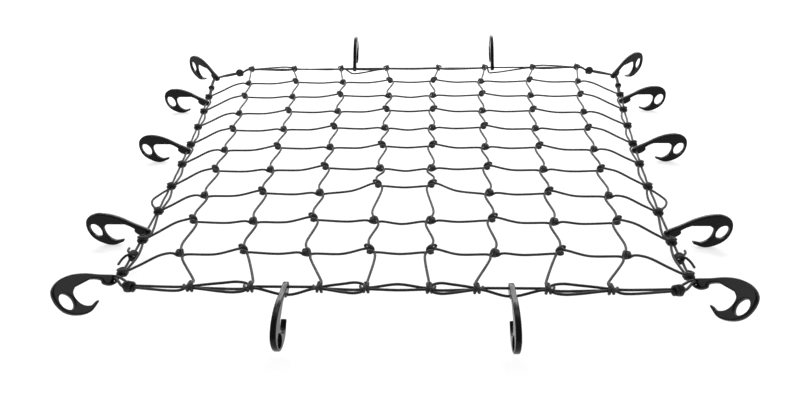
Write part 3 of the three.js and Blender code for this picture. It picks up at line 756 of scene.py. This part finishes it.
def wall_grid(loop, room, depth):
    """Rows of the wall from the upper to the lower face: flat rim, quarter round, straight
    wall with the parting line 0.12 mm proud, quarter round, flat rim."""
    angle = np.radians([0, 24, 48, 70, 90])
    inset = np.concatenate([[1.25], 1 - np.sin(angle), [0, 0, 0], (1 - np.sin(angle))[::-1], [1.25]])
    height = HALF_THICK - depth * (1 - np.cos(angle))
    rows = np.concatenate([[HALF_THICK], height, [0.3, 0, -0.3], -height[::-1], [-HALF_THICK]])
    cut = inset[:, None] * room[None]
    cut[7] = -0.12
    flat = loop[None] + cut[:, :, None] * inward_normals(loop)[None]
    return np.concatenate([flat, np.broadcast_to(rows[:, None, None], (*cut.shape, 1))], axis=-1)


print("hook outline of", len(OUTLINE), "points, rounding from",
      rounding_room(OUTLINE).min().round(2), "to", rounding_room(OUTLINE).max().round(2), "mm")


# %% Hook surface
def hook_plate(eye_radius):
    """Points and faces of a hook in its own frame (out, up, sideways)."""
    loops = [OUTLINE, ring_of(0, 0, eye_radius, eye_radius), ring_of(92, 4, 11, 14.5, -14)]
    rooms = [rounding_room(OUTLINE), np.full(40, 0.9), np.full(40, 1.3)]
    points, faces, rims, start = [], [], [], 0
    for loop, room, depth in zip(loops, rooms, (1.8, 0.9, 1.3)):
        grid = wall_grid(loop, room, depth)
        rows, count = grid.shape[:2]
        i, j = np.meshgrid(np.arange(rows - 1), np.arange(count), indexing="ij")
        k = (j + 1) % count
        quads = np.stack([i * count + j, (i + 1) * count + j, (i + 1) * count + k, i * count + k],
                         axis=-1)
        faces += (quads.reshape(-1, 4) + start).tolist()
        points.append(grid.reshape(-1, 3))
        rims.append((start + np.arange(count), start + (rows - 1) * count + np.arange(count)))
        start += rows * count
    points = np.vstack(points)
    for level, turn in ((0, 1), (1, -1)):
        index = np.concatenate([rim[level] for rim in rims])
        fill = tessellate_polygon([[Vector(points[k]) for k in rim[level]] for rim in rims])
        tri = points[index[np.array(fill)]]
        edge_a, edge_b = tri[:, 1] - tri[:, 0], tri[:, 2] - tri[:, 0]
        up = edge_a[:, 0] * edge_b[:, 1] - edge_a[:, 1] * edge_b[:, 0]
        corners = index[np.array(fill)]
        ordered = np.where((up * turn > 0)[:, None], corners, corners[:, ::-1])
        faces += ordered[np.abs(up) > 1e-9].tolist()
    return points, faces


def hook_frame(name):
    """Hinge point and directions (out, up, sideways), from the hook's joint and its seat."""
    seat = SEATS[name.replace("hook", "seat", 1)]
    up = -unit(np.array(seat["axis"]))
    sideways = unit(np.array(JOINTS[name + "_swing"]["axis"]))
    out = np.cross(up, sideways)
    towards_seat = np.array(seat["pos_m"]) / METRE - joint_place(name)
    out = out * np.sign(out @ towards_seat)
    return joint_place(name), out, up, np.cross(out, up)


hook_pieces = []
for name in sorted(node for node in frame["nodes"] if node.startswith("hook_")):
    centre, out, up, sideways = hook_frame(name)
    plate, faces = hook_plate(4.85 if name.endswith("corner") else 3.2)
    points = centre + plate[:, :1] * out + plate[:, 1:2] * up + plate[:, 2:] * sideways
    flat = np.vstack([plate[face, :2] for face in faces]) * METRE
    surface = {"points": points, "faces": faces, "uv": flat}
    hook_pieces.append(make_piece(f"moulded_{name}", [surface], HOOK_NYLON, name, "hook_plastic", name))
print("hooks", len(hook_pieces), "of", len(hook_pieces[0].data.polygons), "faces each")

# %% [markdown]
# ## Floor, light and camera
#
# The net stands on a white studio floor. Soft lights on the left and the right lift the long
# cords to grey and leave the cross cords darker, because a cord shows light that comes square
# to its length. A large one behind and above draws pale rims, and a white surrounding fills the
# shadows. The floor also glows a little and the view transform is the plain one, so that white
# paper stays white. Those two choices are for the look and aren't what a real studio does.

# %% Floor
floor_mesh = bpy.data.meshes.new("studio_floor")
floor_mesh.from_pydata([(-14, -14, 0), (14, -14, 0), (14, 14, 0), (-14, 14, 0)], [], [(0, 1, 2, 3)])
floor = bpy.data.objects.new("studio_floor", floor_mesh)
bpy.context.scene.collection.objects.link(floor)
paper, tree = new_tree("white_paper_sweep")
place = add_node(tree, "ShaderNodeTexCoord")["Object"]
grain = add_node(tree, "ShaderNodeTexNoise", None, {"Vector": place, "Scale": 90.0, "Detail": 2.0})
tint = add_node(tree, "ShaderNodeValToRGB", None, {"Fac": grain["Fac"]},
                [(0.3, "#a9a9a9"), (0.7, "#b0b0b0")])["Color"]
shader = add_node(tree, "ShaderNodeBsdfPrincipled", None,
                  {"Base Color": tint, "Roughness": 0.9, "Emission Color": linear("#ffffff"),
                   "Emission Strength": 0.6})
add_node(tree, "ShaderNodeOutputMaterial", None, {"Surface": shader["BSDF"]})
floor_mesh.materials.append(paper)

print("floor", floor.name, "of", paper.name)

# %% Light
bpy.context.scene.view_settings.view_transform = "Standard"  # keeps white paper white
world = bpy.data.worlds.new("white_studio")
world.use_nodes = True
bpy.context.scene.world = world
world.node_tree.nodes["Background"].inputs["Color"].default_value = linear("#ffffff")
world.node_tree.nodes["Background"].inputs["Strength"].default_value = 0.4


def soft_light(name, place, target, size, power):
    """A rectangular softbox at a place, turned to face the target."""
    lamp = bpy.data.lights.new(name, "AREA")
    lamp.shape, lamp.size, lamp.size_y, lamp.energy = "RECTANGLE", size[0], size[1], power
    box = bpy.data.objects.new(name, lamp)
    box.location = place
    box.rotation_euler = (Vector(target) - Vector(place)).to_track_quat("-Z", "Y").to_euler()
    bpy.context.scene.collection.objects.link(box)
    return box


FILL_WATTS, BACK_WATTS = 26, 210
soft_light("softbox_left", (-2.6, 0.1, 1.5), (0, 0, 0), (2.6, 1.2), FILL_WATTS)
soft_light("softbox_right", (2.6, 0.1, 1.5), (0, 0, 0), (2.6, 1.2), FILL_WATTS)
soft_light("softbox_top", (0, 0.9, 2.4), (0, 0, 0), (3.0, 0.8), FILL_WATTS)
soft_light("softbox_back", (0, 3.4, 1.9), (0, 0.1, 0), (5.0, 1.5), BACK_WATTS)
print("softboxes", sum(light.type == "AREA" for light in bpy.data.lights))

# %% Camera
camera_data = bpy.data.cameras.new("studio_camera")
camera_data.lens, camera_data.sensor_width = 30.204, 36.0
camera_data.clip_start, camera_data.clip_end = 0.02, 60.0
camera = bpy.data.objects.new("studio_camera", camera_data)
CAMERA_PLACE = (0.0474, -1.3062, 0.6873)
CAMERA_TURNS = ((2.897, "Z"), (59.54, "X"), (-1.379, "Z"))  # pan, tilt and roll in degrees
turn = [Matrix.Rotation(math.radians(angle), 4, axis) for angle, axis in CAMERA_TURNS]
camera.matrix_world = Matrix.Translation(CAMERA_PLACE) @ turn[0] @ turn[1] @ turn[2]
bpy.context.scene.collection.objects.link(camera)
bpy.context.scene.camera = camera
bpy.context.view_layer.update()
print("camera at", [round(value, 3) for value in camera.matrix_world.translation])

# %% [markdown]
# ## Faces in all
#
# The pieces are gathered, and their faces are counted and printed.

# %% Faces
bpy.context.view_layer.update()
pieces = long_pieces + cross_pieces + border_pieces + hook_pieces
faces_shown = sum(len(piece.data.polygons) for piece in pieces)
print("faces in all", faces_shown)
